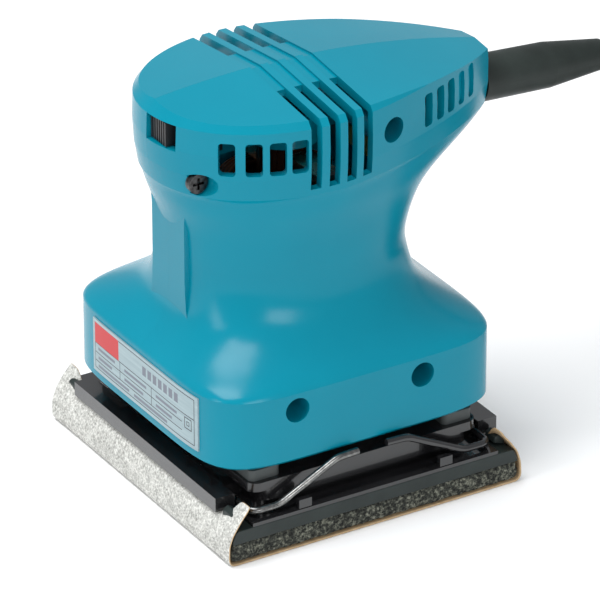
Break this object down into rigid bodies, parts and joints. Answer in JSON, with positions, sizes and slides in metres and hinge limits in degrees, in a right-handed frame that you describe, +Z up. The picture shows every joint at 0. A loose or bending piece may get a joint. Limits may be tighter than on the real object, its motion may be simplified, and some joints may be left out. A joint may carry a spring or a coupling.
{
  "type": "palm finishing sander",
  "caption": "Palm-grip orbital finishing sander with a rectangular quarter-sheet pad, wire-lever paper clamps and a coiled mains lead.",
  "frame": {"origin": "centre of the sanding face, on the surface that the sander stands on", "axes": "+Z up along the motor shaft, -Y towards the nameplate and switch side, +Y towards the mains lead, +X the lever side"},
  "size_m": [0.1315, 0.3129, 0.1392],
  "materials": {
    "housing_plastic": "glossy moulded teal plastic",
    "black_steel": "gloss black enamel",
    "bright_steel": "bright",
    "dark_screw": "blackened steel",
    "grit": "grey-white stearate coated abrasive",
    "foam": "speckled cellular rubber",
    "backing_rubber": "smooth dark rubber",
    "foot_rubber": "grey rubber",
    "black_rubber": "satin black rubber",
    "black_plastic": "moulded black plastic",
    "nameplate_metal": "satin printed foil",
    "core_steel": "laminated steel",
    "copper": "enamelled copper",
    "carbon": "carbon",
    "fan_plastic": "glass filled nylon",
    "cast_metal": "die cast",
    "pin_brass": "nickel plated brass",
    "capacitor_film": "yellow moulded box"
  },
  "bodies": {
    "housing": {"housing_right": "housing_plastic", "housing_left": "housing_plastic", "case_screws": "dark_screw", "nameplate": "nameplate_metal", "switch_body": "black_plastic", "bearing_bracket": "black_plastic", "lower_bearing": "bright_steel", "upper_bearing": "bright_steel", "stator_core": "core_steel", "field_coils": "copper", "brush_holders": "pin_brass", "carbon_brushes": "carbon", "brush_springs": "bright_steel", "brush_caps": "black_plastic", "capacitor": "capacitor_film", "cord_guard": "black_rubber", "inner_lead": "black_rubber", "cord_clamp": "black_plastic", "cord_clamp_screws": "dark_screw", "mains_lead": "black_rubber", "lead_coil": "black_rubber", "lead_tail": "black_rubber", "mains_plug": "black_rubber", "plug_pins": "pin_brass"},
    "rotor": {"motor_shaft": "bright_steel", "armature_core": "core_steel", "armature_windings": "copper", "commutator": "copper", "cooling_fan": "fan_plastic", "counterweight": "cast_metal"},
    "base": {"base_plate": "black_steel", "pad_bearing": "bright_steel", "pad_screws": "dark_screw", "rubber_feet": "foot_rubber", "backing_pad": "backing_rubber", "foam_pad": "foam", "sanding_sheet": "grit"},
    "switch": {"switch_slider": "black_plastic"},
    "front_bar": {"front_clamp": "black_steel"},
    "rear_bar": {"rear_clamp": "black_steel"},
    "front_wire": {"front_lever": "bright_steel"},
    "rear_wire": {"rear_lever": "black_steel"}
  },
  "joints": [
    {"name": "rotor_spin", "type": "hinge", "parent": "housing", "child": "rotor", "pos_m": [0, 0, 0.05], "axis": [0, 0, 1], "continuous": true},
    {"name": "pad_orbit", "type": "hinge", "parent": "rotor", "child": "base", "pos_m": [-0.00075, 0, 0.018], "axis": [0, 0, 1], "continuous": true},
    {"name": "switch_slide", "type": "slide", "parent": "housing", "child": "switch", "axis": [1, 0, 0], "range_m": [0, 0.0038]},
    {"name": "front_lever_lift", "type": "hinge", "parent": "base", "child": "front_wire", "pos_m": [0, -0.0436, 0.0154], "axis": [1, 0, 0], "range_deg": [0, 75]},
    {"name": "rear_lever_lift", "type": "hinge", "parent": "base", "child": "rear_wire", "pos_m": [0, 0.0436, 0.0154], "axis": [-1, 0, 0], "range_deg": [0, 75]},
    {"name": "front_clamp_lift", "type": "hinge", "parent": "base", "child": "front_bar", "pos_m": [0, -0.0436, 0.0154], "axis": [-1, 0, 0], "range_deg": [0, 25]},
    {"name": "rear_clamp_lift", "type": "hinge", "parent": "base", "child": "rear_bar", "pos_m": [0, 0.0436, 0.0154], "axis": [1, 0, 0], "range_deg": [0, 25]}
  ],
  "couplings": [
    {"joint": "pad_orbit", "follows": "rotor_spin", "ratio": -1},
    {"joint": "front_clamp_lift", "follows": "front_lever_lift", "ratio": 0.3333},
    {"joint": "rear_clamp_lift", "follows": "rear_lever_lift", "ratio": 0.3333}
  ]
}
